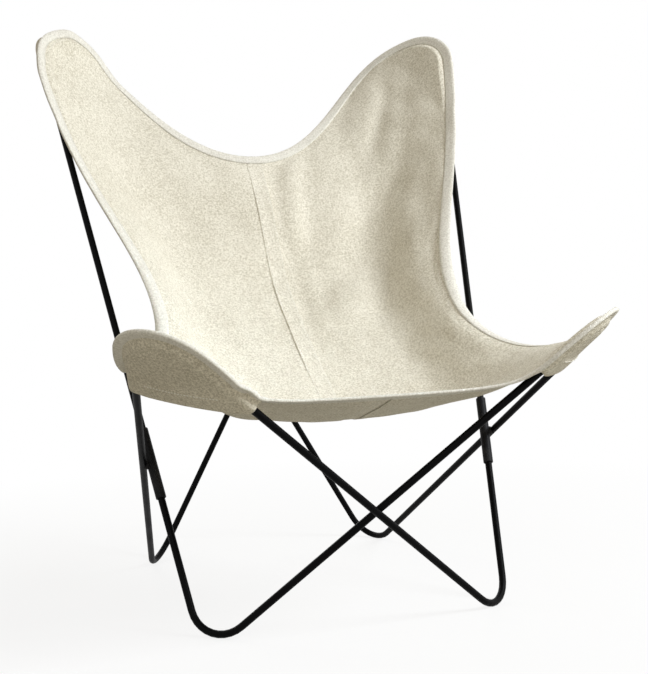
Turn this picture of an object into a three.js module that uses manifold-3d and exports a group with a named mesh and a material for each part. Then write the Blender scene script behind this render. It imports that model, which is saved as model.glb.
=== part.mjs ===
// Butterfly sling chair: two bent rod loops, plugged into each other's welded sleeves,
// carry a canvas sling that hangs from four pockets.
// Millimetres, +Z up, the sitter looks along -Y. The chair stands on the floor at Z = 0.

import * as THREE from 'three';
import { mergeVertices } from 'three/addons/utils/BufferGeometryUtils.js';
import Module from 'manifold-3d';

const wasm = await Module();
wasm.setup();

// Rod loops: each corner is where two straight legs would meet before the bend rounds it

const rodDiameter = 10;
const frontFootHalfWidth = 216;
const frontFootForward = 250;
const backFootHalfWidth = 199;
const backFootBack = 250;
const backProngHalfWidth = 371;
const backProngBack = 318;
const backProngHeight = 1003;
const frontProngForward = 445;
const frontProngHeight = 441.5;
const footBendRadius = 46;
const backProngRadius = 53.5;
const frontProngRadius = 47;
const rodSides = 16;
const bendStepAngle = Math.PI / 16;

// Sleeves at the two side crossings

const sleeveLength = 105;
const sleeveWall = 1.8;
const sleeveBoreClearance = 0.4;
const sleeveChamfer = 0.6;
const sleeveSides = 28;
const rodEndGap = 2;
const weldReach = 7;
const weldClearance = 0.3;
const contactGap = 0.3;

// Canvas sling

const canvasThickness = 1.2;
const layerGap = 0.3;
const earMargin = 24;
const rodToCloth = 7.1;
const rodToBinding = 9;
const rodToPocket = 7.6;
const pocketWrapOutside = 8.8;
const pocketWrapHeight = 2.4;
const pocketLipReach = 1.6;
const rimClear = 22.8;
const rimOver = 18;
const shoulderShortest = 20;
const shoulderLongest = 27;
const backPocketMouth = 105;
const frontPocketMouth = 52;
const earFlatWidth = 112;
const earFade = 85;

// Edge binding, a tape folded round the rim, and the felled seam down the middle

const bindingWidth = 12;
const bindingThickness = 0.8;
const bindingSlotClearance = 0.5;
const seamWidth = 18;
const seamThickness = 1.6;

// How the cloth hangs, as shares of the straight line from back ear tips to front ear tips

const spineAlongShares = [0.188, 0.301, 0.48, 0.623, 0.804, 0.887, 0.957, 1.032];
const spineSagShares = [0.1835, 0.2155, 0.292, 0.303, 0.2996, 0.28, 0.2075, 0.113];
const waistAlongShare = 0.673;
const waistInwardShare = 0.091;
const waistSagShare = 0.209;
const waistSlopeShare = 0.95;
const sideHandleShares = [0.31, 0.17, 0.124, 0.139];
const topHandleShares = [0.37, 0.42];
const frontHandleShares = [0.8, 0.39];
const backEarAngles = [0.2, 1.31];
const frontEarAngles = [1.08, 1.04];
const crossCurve = 2;
const coreAcrossShare = 0.45;
const coreAlongShare = 0.26;
const peekShare = 0.12;

// Mesh counts

const settlingPasses = 40;
const insetHalvings = 24;
const weldAround = 20;
const weldAlong = 14;
const topCells = 14;
const sideCells = 26;
const pocketColumns = 5;
const tipCrowding = 0.7;
const topCrowding = 1.5;

// Colours

const rodBlack = 0x17171a;
const sleeveBlack = 0x1b1b1e;
const weldBlack = 0x202023;
const canvasCream = 0xe4dcc6;
const bindingCream = 0xe9e5da;
const pocketCream = 0xd6ccb3;

const rodRadius = rodDiameter / 2;
const sleeveBoreRadius = rodRadius + sleeveBoreClearance;
const sleeveRadius = sleeveBoreRadius + sleeveWall;
const sideAxisDistance = sleeveRadius + rodRadius + contactGap;

const vec = (x, y, z) => new THREE.Vector3(x, y, z);
const between = (a, b, share) => a.clone().lerp(b, share);
const unitFrom = (a, b) => b.clone().sub(a).normalize();

function smoothStep(value) {
  const t = THREE.MathUtils.clamp(value, 0, 1);
  return t * t * (3 - 2 * t);
}

// The frame's corners

function layOutCorners() {
  const corners = {};
  for (const side of [-1, 1]) {
    corners[side] = {
      frontFoot: vec(side * frontFootHalfWidth, -frontFootForward, 0),
      backFoot: vec(side * backFootHalfWidth, backFootBack, 0),
      backProng: vec(side * backProngHalfWidth, backProngBack, backProngHeight),
      frontProng: vec(side * backProngHalfWidth, -frontProngForward, frontProngHeight),
    };
  }
  return corners;
}

// Each loop holds one back prong, the far back foot, the far front prong and its own front foot
function loopCorners(corners, side) {
  return [
    corners[side].backProng,
    corners[-side].backFoot,
    corners[-side].frontProng,
    corners[side].frontFoot,
  ];
}

function bendAt(before, corner, after, radius) {
  const legIn = unitFrom(corner, before);
  const legOut = unitFrom(corner, after);
  const inward = legIn.clone().add(legOut).normalize();
  const halfAngle = legIn.angleTo(legOut) / 2;
  const centre = corner.clone().addScaledVector(inward, radius / Math.sin(halfAngle));
  const across = legOut.clone().sub(legIn).normalize();
  const axis = legIn.clone().cross(legOut).normalize();
  return { centre, inward, across, axis, halfAngle, radius };
}

function standFoot(before, corner, after) {
  const bend = bendAt(before, corner, after, footBendRadius);
  const lowest = bend.centre.z - footBendRadius * Math.sqrt(1 - bend.axis.z ** 2);
  corner.z += rodRadius - lowest;
}

function lineDistance(a, b, c, d) {
  const across = b.clone().sub(a).cross(d.clone().sub(c)).normalize();
  return Math.abs(c.clone().sub(a).dot(across));
}

// Feet settle on the floor, the loops step apart where they cross in front, and the outer
// legs swing out until the sleeve fits between them and the inner legs
function settleCorners() {
  const corners = layOutCorners();
  for (let pass = 0; pass < settlingPasses; pass += 1) {
    for (const side of [-1, 1]) {
      const own = corners[side];
      const other = corners[-side];
      standFoot(own.backProng, own.frontFoot, other.frontProng);
      standFoot(other.backProng, own.backFoot, own.frontProng);
      const distance = lineDistance(own.backProng, own.frontFoot, own.frontProng, own.backFoot);
      const outer = own.frontProng.x * side > crossingWidth(own) ? 1 : -1;
      own.frontProng.x += side * (sideAxisDistance - outer * distance);
    }
    const legDown = unitFrom(corners[1].frontProng, corners[-1].frontFoot);
    const otherDown = unitFrom(corners[-1].frontProng, corners[1].frontFoot);
    const apart = legDown.cross(otherDown).normalize();
    const step = (rodDiameter + contactGap) / Math.abs(apart.y) / 2;
    for (const side of [-1, 1]) {
      corners[side].backProng.y = backProngBack - side * step;
      corners[side].frontFoot.y = -frontFootForward - side * step;
      corners[-side].backFoot.y = backFootBack - side * step;
      corners[-side].frontProng.y = -frontProngForward - side * step;
    }
  }
  return corners;
}

// Half width of the front prong corner at which the outer leg would touch the inner leg's line
function crossingWidth(own) {
  const leg = own.backProng.clone().sub(own.frontFoot);
  const toFoot = own.backFoot.clone().sub(own.frontFoot);
  const plane = leg.cross(toFoot);
  const offset = own.frontProng.clone().sub(own.frontFoot);
  const reach = own.frontProng.x - offset.dot(plane) / plane.x;
  return Math.abs(reach);
}

const corners = settleCorners();

// A rod path: straight legs joined by round bends. Stations are spread by bend, not by length

class BentRod extends THREE.Curve {
  constructor(start, turns, end) {
    super();
    this.places = [start];
    this.headings = [unitFrom(start, turns[0].corner)];
    turns.forEach((turn, index) => {
      const before = index ? turns[index - 1].corner : start;
      const after = index < turns.length - 1 ? turns[index + 1].corner : end;
      this.addBend(bendAt(before, turn.corner, after, turn.radius));
    });
    this.places.push(end);
    this.headings.push(unitFrom(turns[turns.length - 1].corner, end));
  }

  addBend(bend) {
    const reach = Math.PI / 2 - bend.halfAngle;
    const steps = Math.ceil((2 * reach) / bendStepAngle);
    for (let step = 0; step <= steps; step += 1) {
      const angle = reach * ((2 * step) / steps - 1);
      const outward = bend.inward.clone().multiplyScalar(-Math.cos(angle));
      outward.addScaledVector(bend.across, Math.sin(angle));
      this.places.push(bend.centre.clone().addScaledVector(outward, bend.radius));
      const heading = bend.inward.clone().multiplyScalar(Math.sin(angle));
      this.headings.push(heading.addScaledVector(bend.across, Math.cos(angle)).normalize());
    }
  }

  get legs() {
    return this.places.length - 1;
  }

  getUtoTmapping(u) {
    return u;
  }

  getPoint(t) {
    const along = t * this.legs;
    const index = Math.min(Math.floor(along), this.legs - 1);
    return between(this.places[index], this.places[index + 1], along - index);
  }

  getTangent(t) {
    return this.headings[Math.round(t * this.legs)].clone();
  }
}

// The point on an inner side leg that lies nearest to the outer leg
function sideCrossing(side) {
  const own = corners[side];
  const down = unitFrom(own.backProng, own.frontFoot);
  const outerDown = unitFrom(own.frontProng, own.backFoot);
  const offset = own.frontProng.clone().sub(own.backProng);
  const turn = down.dot(outerDown);
  const along = (offset.dot(down) - offset.dot(outerDown) * turn) / (1 - turn * turn);
  const centre = own.backProng.clone().addScaledVector(down, along);
  const outerAlong = centre.clone().sub(own.frontProng).dot(outerDown);
  const outerCentre = own.frontProng.clone().addScaledVector(outerDown, outerAlong);
  return { centre, down, outerCentre, outerDown };
}

const crossings = { [-1]: sideCrossing(-1), 1: sideCrossing(1) };

function rodLoop(side) {
  const { centre, down } = crossings[side];
  const radii = [backProngRadius, footBendRadius, frontProngRadius, footBendRadius];
  const turns = loopCorners(corners, side).map((corner, index) => ({ corner, radius: radii[index] }));
  const start = centre.clone().addScaledVector(down, -rodEndGap / 2);
  const end = centre.clone().addScaledVector(down, rodEndGap / 2);
  const path = new BentRod(start, turns, end);
  const section = new THREE.Shape();
  section.absarc(0, 0, rodRadius, 0, 2 * Math.PI);
  return new THREE.ExtrudeGeometry(section, {
    steps: path.legs,
    curveSegments: rodSides,
    extrudePath: path,
  });
}

// Sleeve: a tube over the two rod ends

function turnedTo(geometry, direction, place) {
  const turn = new THREE.Quaternion().setFromUnitVectors(vec(0, 1, 0), direction);
  geometry.applyQuaternion(turn);
  geometry.translate(place.x, place.y, place.z);
  return geometry;
}

function sleeve(side) {
  const half = sleeveLength / 2;
  const profile = [
    new THREE.Vector2(sleeveBoreRadius, -half),
    new THREE.Vector2(sleeveRadius - sleeveChamfer, -half),
    new THREE.Vector2(sleeveRadius, -half + sleeveChamfer),
    new THREE.Vector2(sleeveRadius, half - sleeveChamfer),
    new THREE.Vector2(sleeveRadius - sleeveChamfer, half),
    new THREE.Vector2(sleeveBoreRadius, half),
    new THREE.Vector2(sleeveBoreRadius, -half),
  ];
  const tube = new THREE.LatheGeometry(profile, sleeveSides);
  return turnedTo(tube, crossings[side].down, crossings[side].centre);
}

// Weld: the bead that fills in round the touching point of sleeve and rod

function toSolid(geometry) {
  const plain = geometry.clone();
  plain.deleteAttribute('normal');
  plain.deleteAttribute('uv');
  const merged = mergeVertices(plain);
  return new wasm.Manifold(new wasm.Mesh({
    numProp: 3,
    vertProperties: new Float32Array(merged.attributes.position.array),
    triVerts: new Uint32Array(merged.index.array),
  }));
}

function toGeometry(solid) {
  const mesh = solid.getMesh();
  const geometry = new THREE.BufferGeometry();
  geometry.setAttribute('position', new THREE.BufferAttribute(mesh.vertProperties, 3));
  geometry.setIndex(new THREE.BufferAttribute(mesh.triVerts, 1));
  return geometry;
}

function weld(side) {
  const { centre, down, outerCentre, outerDown } = crossings[side];
  const toRod = unitFrom(centre, outerCentre);
  const touch = centre.clone().addScaledVector(toRod, sleeveRadius + contactGap / 2);
  const bead = new THREE.SphereGeometry(weldReach, weldAround, weldAlong);
  bead.translate(touch.x, touch.y, touch.z);
  const cutterLength = 4 * weldReach;
  const sleeveCut = new THREE.CylinderGeometry(
    sleeveRadius + weldClearance, sleeveRadius + weldClearance, cutterLength, sleeveSides);
  const rodCut = new THREE.CylinderGeometry(
    rodRadius + weldClearance, rodRadius + weldClearance, cutterLength, sleeveSides);
  const trimmed = toSolid(bead)
    .subtract(toSolid(turnedTo(sleeveCut, down, centre)))
    .subtract(toSolid(turnedTo(rodCut, outerDown, outerCentre)));
  return toGeometry(trimmed);
}

// Ears: the rounded corners of the sling, which lie flat on the prongs

function earFrame(side, prong) {
  const own = corners[side];
  const other = corners[-side];
  const back = prong === 'backProng';
  const sideFoot = back ? own.frontFoot : own.backFoot;
  const crossFoot = back ? other.backFoot : other.frontFoot;
  const radius = back ? backProngRadius : frontProngRadius;
  const bend = bendAt(sideFoot, own[prong], crossFoot, radius);
  const tip = bend.inward.clone().negate();
  const face = tip.clone().cross(bend.across).normalize();
  if (face.z < 0) face.negate();
  const mouth = back ? backPocketMouth : frontPocketMouth;
  return { bend, tip, face, mouth, across: bend.across, radius: radius + earMargin };
}

// Arc of an ear's rim: zero is the tip, plus turns towards the cross leg
class EarArc extends THREE.Curve {
  constructor(ear, from, to) {
    super();
    Object.assign(this, { ear, from, to });
  }

  getPoint(t) {
    return earRim(this.ear, this.from + (this.to - this.from) * t);
  }
}

function earRim(ear, angle) {
  const place = ear.bend.centre.clone().addScaledVector(ear.tip, ear.radius * Math.cos(angle));
  return place.addScaledVector(ear.across, ear.radius * Math.sin(angle));
}

function earRimHeading(ear, angle) {
  const heading = ear.tip.clone().multiplyScalar(-Math.sin(angle));
  return heading.addScaledVector(ear.across, Math.cos(angle));
}

function slingEdge(...curves) {
  const edge = new THREE.CurvePath();
  curves.forEach((curve) => edge.add(curve));
  return edge;
}

function bezier(start, startHeading, startReach, endReach, endHeading, end) {
  return new THREE.CubicBezierCurve3(
    start,
    start.clone().addScaledVector(startHeading, startReach),
    end.clone().addScaledVector(endHeading, endReach),
    end,
  );
}

const ears = {
  [-1]: { back: earFrame(-1, 'backProng'), front: earFrame(-1, 'frontProng') },
  1: { back: earFrame(1, 'backProng'), front: earFrame(1, 'frontProng') },
};

// The spine runs down the middle of the sling, below the line that joins the ear tips

function spineCurve() {
  const start = between(earRim(ears[-1].back, 0), earRim(ears[1].back, 0), 1 / 2);
  const end = between(earRim(ears[-1].front, 0), earRim(ears[1].front, 0), 1 / 2);
  start.x = 0;
  end.x = 0;
  const length = start.distanceTo(end);
  const along = unitFrom(start, end);
  const down = vec(0, -along.z, along.y);
  const points = spineAlongShares.map((share, index) => start.clone()
    .addScaledVector(along, share * length)
    .addScaledVector(down, spineSagShares[index] * length));
  return new THREE.CatmullRomCurve3(points, false, 'centripetal');
}

const spine = spineCurve();

// Three edges bound each half of the sling: top, side and front

function halfEdges(side) {
  const { back, front } = ears[side];
  const sideways = vec(side, 0, 0);
  const topMiddle = spine.getPoint(0);
  const frontMiddle = spine.getPoint(1);

  const topEnd = earRim(back, backEarAngles[0]);
  const topSpan = topMiddle.distanceTo(topEnd);
  const top = slingEdge(
    bezier(topMiddle, sideways, topHandleShares[0] * topSpan,
      topHandleShares[1] * topSpan, earRimHeading(back, backEarAngles[0]), topEnd),
    new EarArc(back, backEarAngles[0], 0),
  );

  const backTip = earRim(back, 0);
  const frontTip = earRim(front, 0);
  const chord = backTip.distanceTo(frontTip);
  const along = unitFrom(backTip, frontTip);
  const down = vec(0, -along.z, along.y).normalize();
  const waist = backTip.clone()
    .addScaledVector(along, waistAlongShare * chord)
    .addScaledVector(down, waistSagShare * chord)
    .addScaledVector(sideways, -waistInwardShare * chord);
  const waistHeading = vec(0, -waistSlopeShare, -1).normalize();
  const backLeave = earRim(back, -backEarAngles[1]);
  const frontMeet = earRim(front, -frontEarAngles[0]);
  const edge = slingEdge(
    new EarArc(back, 0, -backEarAngles[1]),
    bezier(backLeave, earRimHeading(back, -backEarAngles[1]).negate(), sideHandleShares[0] * chord,
      -sideHandleShares[1] * chord, waistHeading, waist),
    bezier(waist, waistHeading, sideHandleShares[2] * chord,
      sideHandleShares[3] * chord, earRimHeading(front, -frontEarAngles[0]).negate(), frontMeet),
    new EarArc(front, -frontEarAngles[0], 0),
  );

  const frontEnd = earRim(front, frontEarAngles[1]);
  const frontSpan = frontMiddle.distanceTo(frontEnd);
  const frontEdge = slingEdge(
    bezier(frontMiddle, sideways, frontHandleShares[0] * frontSpan,
      frontHandleShares[1] * frontSpan, earRimHeading(front, frontEarAngles[1]), frontEnd),
    new EarArc(front, frontEarAngles[1], 0),
  );
  return { top, edge, frontEdge };
}

// The hanging surface of one half: u runs from the spine out, v from the top to the front

function hangingSurface(side) {
  const { top, edge, frontEdge } = halfEdges(side);
  const spineTop = spine.getPoint(0);
  const spineFront = spine.getPoint(1);
  const backTip = edge.getPoint(0);
  const frontTip = edge.getPoint(1);
  const widths = [top.getLength(), frontEdge.getLength()];
  const surface = (u, v) => {
    const outer = u ** crossCurve;
    const fromTop = spine.getPointAt(v).sub(between(spineTop, spineFront, v));
    const fromTip = edge.getPoint(v).sub(between(backTip, frontTip, v));
    return between(top.getPoint(u), frontEdge.getPoint(u), v)
      .addScaledVector(fromTop, 1 - outer)
      .addScaledVector(fromTip, outer);
  };
  return { surface, widths };
}

// The rod's centre line nearest to a place, seen square on to the ear's plane, and the
// direction from there to the outside of the loop
function nearestRod(ear, place) {
  const { bend } = ear;
  const offset = place.clone().sub(bend.centre);
  const out = offset.dot(ear.tip);
  const over = offset.dot(ear.across);
  const turn = Math.PI / 2 - bend.halfAngle;
  const angle = THREE.MathUtils.clamp(Math.atan2(over, out), -turn, turn);
  const outward = ear.tip.clone().multiplyScalar(Math.cos(angle));
  outward.addScaledVector(ear.across, Math.sin(angle));
  const reach = out * Math.cos(angle) + over * Math.sin(angle);
  const flat = offset.addScaledVector(ear.face, -offset.dot(ear.face));
  const centre = bend.centre.clone().add(flat).addScaledVector(outward, bend.radius - reach);
  return { centre, outward, outside: reach - bend.radius };
}

const rimLift = (canvasThickness + layerGap) / 2;

// Lays cloth on the ears. Full lift clears the rod; a rim closes on the pocket behind it, and
// rises again where it crosses over a leg
function seatOnEars(side, place, liftFor) {
  const seated = place.clone();
  for (const ear of Object.values(ears[side])) {
    const offset = place.clone().sub(ear.bend.centre);
    const below = -offset.dot(ear.tip);
    const over = Math.abs(offset.dot(ear.across));
    const height = offset.dot(ear.face);
    const hold = (1 - smoothStep((below - ear.mouth) / earFade))
      * (1 - smoothStep((over - earFlatWidth) / earFade));
    seated.addScaledVector(ear.face, hold * Math.max(liftFor(ear) - height, 0));
  }
  return seated;
}

const clothLift = () => rodToCloth;

function rimLiftAt(rimPlace) {
  return (ear) => {
    const clear = smoothStep((nearestRod(ear, rimPlace).outside - rimOver) / (rimClear - rimOver));
    return rodToBinding + (rimLift - rodToBinding) * clear;
  };
}

// Stations round a half rim, spread closer at the ear tips

function rimStations(side, widths) {
  const stations = [];
  const startShare = (width) => (seamWidth / 2 + layerGap) / width;
  const topStart = startShare(widths[0]);
  const frontStart = startShare(widths[1]);
  const topSpread = (index) => 1 - (1 - index / topCells) ** topCrowding;
  for (let index = 0; index < topCells; index += 1) {
    stations.push([topStart + (1 - topStart) * topSpread(index), 0]);
  }
  for (let index = 0; index <= sideCells; index += 1) {
    const share = index / sideCells;
    const eased = (1 - Math.cos(Math.PI * share)) / 2;
    stations.push([1, share + (eased - share) * tipCrowding]);
  }
  for (let index = topCells - 1; index >= 0; index -= 1) {
    stations.push([frontStart + (1 - frontStart) * topSpread(index), 1]);
  }
  return stations;
}

// From a rim station towards the calm middle of the half
function towardsCore(station, share) {
  const target = [
    Math.min(station[0], coreAcrossShare),
    THREE.MathUtils.clamp(station[1], coreAlongShare, 1 - coreAlongShare),
  ];
  return station.map((value, index) => value + (target[index] - value) * share);
}

// Walks in from the rim until the cloth is a given distance from it
function insetPlace(surface, station, inset, frameAt) {
  const walk = (share) => towardsCore(station, share);
  let near = 0;
  let far = 1;
  for (let step = 0; step < insetHalvings; step += 1) {
    const middle = (near + far) / 2;
    const reach = surface(...walk(middle)).sub(frameAt.place).dot(frameAt.inward);
    if (reach < inset) near = middle;
    else far = middle;
  }
  return walk((near + far) / 2);
}

function rimFrame(surface, station, next, previous) {
  const place = surface(...station);
  const heading = surface(...next).sub(surface(...previous)).normalize();
  const inside = surface(...towardsCore(station, peekShare)).sub(place);
  const inward = inside.addScaledVector(heading, -inside.dot(heading)).normalize();
  return { place, heading, inward };
}

// One half of the sling as rings that follow the rim, and a grid inside the last ring

function slingHalf(side) {
  const { surface, widths } = hangingSurface(side);
  const stations = rimStations(side, widths);
  const count = stations.length;
  const rings = stations.map((station, index) => {
    const next = stations[Math.min(index + 1, count - 1)];
    const previous = stations[Math.max(index - 1, 0)];
    const frameAt = rimFrame(surface, station, next, previous);
    const ear = station[1] < 1 / 2 ? ears[side].back : ears[side].front;
    const shoulder = THREE.MathUtils.clamp(
      nearestRod(ear, frameAt.place).outside, shoulderShortest, shoulderLongest);
    const insets = [bindingWidth / 2, bindingWidth, shoulder];
    const shares = [station, ...insets.map((inset) => insetPlace(surface, station, inset, frameAt))];
    return { shares, inward: frameAt.inward, rimPlace: frameAt.place };
  });

  const places = [];
  const rows = [];
  const lastRing = 3;
  for (let ring = 0; ring <= lastRing; ring += 1) {
    rows.push(rings.map(({ shares, rimPlace }) => {
      const liftFor = ring === lastRing ? clothLift : rimLiftAt(rimPlace);
      places.push(seatOnEars(side, surface(...shares[ring]), liftFor));
      return places.length - 1;
    }));
  }

  const faces = [];
  for (let ring = 0; ring < lastRing; ring += 1) {
    for (let index = 0; index + 1 < count; index += 1) {
      faces.push([rows[ring][index], rows[ring + 1][index], rows[ring + 1][index + 1], rows[ring][index + 1]]);
    }
  }

  const innerShares = rings.map(({ shares }) => shares[lastRing]);
  const topRow = innerShares.slice(0, topCells + 1);
  const sideRow = innerShares.slice(topCells, topCells + sideCells + 1);
  const frontRow = innerShares.slice(topCells + sideCells).reverse();
  const grid = [];
  for (let j = 0; j <= sideCells; j += 1) {
    const t = stations[topCells + j][1];
    const column = [];
    for (let i = 0; i <= topCells; i += 1) {
      const onTop = j === 0;
      const onFront = j === sideCells;
      const onSide = i === topCells;
      if (onTop) column.push(rows[lastRing][i]);
      else if (onSide) column.push(rows[lastRing][topCells + j]);
      else if (onFront) column.push(rows[lastRing][count - 1 - i]);
      else {
        const s = (stations[i][0] - stations[0][0]) / (1 - stations[0][0]);
        const spineShare = (share) => {
          const v = topRow[0][1] + (frontRow[0][1] - topRow[0][1]) * share;
          const width = widths[0] + (widths[1] - widths[0]) * v;
          return [(seamWidth / 2 + layerGap) / width, v];
        };
        const left = spineShare(t);
        const inner = [0, 1].map((axis) => {
          const straight = (1 - t) * topRow[i][axis] + t * frontRow[i][axis]
            + (1 - s) * left[axis] + s * sideRow[j][axis];
          const cornersOnly = (1 - t) * ((1 - s) * topRow[0][axis] + s * topRow[topCells][axis])
            + t * ((1 - s) * frontRow[0][axis] + s * frontRow[topCells][axis]);
          return straight - cornersOnly;
        });
        places.push(seatOnEars(side, surface(...inner), clothLift));
        column.push(places.length - 1);
      }
    }
    grid.push(column);
  }
  for (let j = 0; j < sideCells; j += 1) {
    for (let i = 0; i < topCells; i += 1) {
      faces.push([grid[j][i], grid[j + 1][i], grid[j + 1][i + 1], grid[j][i + 1]]);
    }
  }
  if (side < 0) faces.forEach((face) => face.reverse());
  return { places, faces, rows, rings, grid, normals: vertexNormals(places, faces) };
}

function vertexNormals(places, faces) {
  const normals = places.map(() => vec(0, 0, 0));
  for (const [a, b, c, d] of faces) {
    const normal = places[c].clone().sub(places[a]).cross(places[d].clone().sub(places[b]));
    for (const index of [a, b, c, d]) normals[index].add(normal);
  }
  return normals.map((normal) => normal.normalize());
}

// Gives a sheet of four-sided faces its thickness: front, back and a wall round its edge

function thicken(places, faces, normals, thickness) {
  const count = places.length;
  const positions = new Float32Array(2 * count * 3);
  places.forEach((place, index) => {
    place.clone().addScaledVector(normals[index], thickness / 2).toArray(positions, 3 * index);
    place.clone().addScaledVector(normals[index], -thickness / 2).toArray(positions, 3 * (count + index));
  });
  const triangles = [];
  const edges = new Set();
  const addTriangle = (a, b, c) => {
    if (a === b || b === c || c === a) return;
    triangles.push(a, b, c, count + a, count + c, count + b);
  };
  for (const [a, b, c, d] of faces) {
    addTriangle(a, b, c);
    addTriangle(a, c, d);
    for (const [from, to] of [[a, b], [b, c], [c, d], [d, a]]) {
      if (from === to) continue;
      if (!edges.delete(`${to} ${from}`)) edges.add(`${from} ${to}`);
    }
  }
  for (const edge of edges) {
    const [from, to] = edge.split(' ').map(Number);
    triangles.push(count + from, count + to, to, count + from, to, from);
  }
  const geometry = new THREE.BufferGeometry();
  geometry.setAttribute('position', new THREE.BufferAttribute(positions, 3));
  geometry.setIndex(triangles);
  return geometry;
}

// Unused places are dropped so that each sheet holds only its own
function compactSheet(places, faces) {
  const kept = [];
  const numbers = new Map();
  const renumbered = faces.map((face) => face.map((index) => {
    if (!numbers.has(index)) {
      numbers.set(index, kept.length);
      kept.push(places[index]);
    }
    return numbers.get(index);
  }));
  return { places: kept, faces: renumbered };
}

const halves = { [-1]: slingHalf(-1), 1: slingHalf(1) };

function slingPanel(side) {
  const { places, faces, normals } = halves[side];
  return thicken(places, faces, normals, canvasThickness);
}

// Felled seam: the strip between the two panels

function centreSeam() {
  const half = halves[1];
  const width = seamWidth / 2;
  const places = [];
  const faces = [];
  const innerEdge = [
    ...half.rows.map((row) => row[0]),
    ...half.grid.slice(1, -1).map((column) => column[0]),
    ...[...half.rows].reverse().map((row) => row[row.length - 1]),
  ];
  innerEdge.forEach((index) => {
    const beside = half.places[index];
    places.push(vec(-width, beside.y, beside.z), vec(0, beside.y, beside.z), vec(width, beside.y, beside.z));
  });
  for (let row = 0; row + 1 < innerEdge.length; row += 1) {
    const first = 3 * row;
    faces.push([first, first + 3, first + 4, first + 1]);
    faces.push([first + 1, first + 4, first + 5, first + 2]);
  }
  return thicken(places, faces, vertexNormals(places, faces), seamThickness);
}

// Binding: tape folded round the whole rim, with the canvas in its slot. Where its section
// runs back to the rim, its faces are cut along the same diagonals as the canvas

const bindingReturns = [3, 4, 9, 10];

function edgeBinding() {
  const sections = [];
  const slot = canvasThickness / 2 + bindingSlotClearance;
  const pocketLayer = canvasThickness + layerGap;
  for (const side of [1, -1]) {
    const { places, normals, rows, rings } = halves[side];
    const count = rings.length;
    const order = [...Array(count).keys()];
    const reaches = Object.entries({ back: topCells, front: topCells + sideCells })
      .map(([which, tip]) => [
        tip - pocketReach(side, which, tip, -1),
        tip + pocketReach(side, which, tip, 1),
      ]);
    if (side < 0) order.reverse();
    for (const index of order) {
      const slotBehind = reaches.some(([first, last]) => index >= first && index <= last)
        ? slot + pocketLayer
        : slot;
      const { inward } = rings[index];
      const at = (ring, out, over) => places[rows[ring][index]].clone()
        .addScaledVector(inward, -out)
        .addScaledVector(normals[rows[ring][index]], over);
      const outer = layerGap + bindingThickness;
      sections.push([
        at(0, outer, slot + bindingThickness),
        at(1, 0, slot + bindingThickness),
        at(2, 0, slot + bindingThickness),
        at(2, 0, slot),
        at(1, 0, slot),
        at(0, layerGap, slot),
        at(0, layerGap, -slotBehind),
        at(1, 0, -slotBehind),
        at(2, 0, -slotBehind),
        at(2, 0, -slotBehind - bindingThickness),
        at(1, 0, -slotBehind - bindingThickness),
        at(0, outer, -slotBehind - bindingThickness),
      ]);
    }
  }
  const around = sections[0].length;
  const positions = [];
  sections.forEach((section) => section.forEach((place) => positions.push(place.x, place.y, place.z)));
  const triangles = [];
  for (let index = 0; index < sections.length; index += 1) {
    const next = (index + 1) % sections.length;
    for (let point = 0; point < around; point += 1) {
      const following = (point + 1) % around;
      const a = index * around + point;
      const b = index * around + following;
      const c = next * around + following;
      const d = next * around + point;
      if (bindingReturns.includes(point)) triangles.push(a, b, d, b, c, d);
      else triangles.push(a, b, c, a, c, d);
    }
  }
  const geometry = new THREE.BufferGeometry();
  geometry.setAttribute('position', new THREE.Float32BufferAttribute(positions, 3));
  geometry.setIndex(triangles);
  return geometry;
}

// Pockets: a second layer behind each ear, open towards the legs

function pocketReach(side, which, tip, direction) {
  const { rings } = halves[side];
  const ear = ears[side][which];
  let steps = 0;
  for (;;) {
    const { rimPlace } = rings[tip + direction * (steps + 1)];
    const below = -rimPlace.clone().sub(ear.bend.centre).dot(ear.tip);
    if (below > ear.mouth || nearestRod(ear, rimPlace).outside < rimClear) return steps;
    steps += 1;
  }
}

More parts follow.
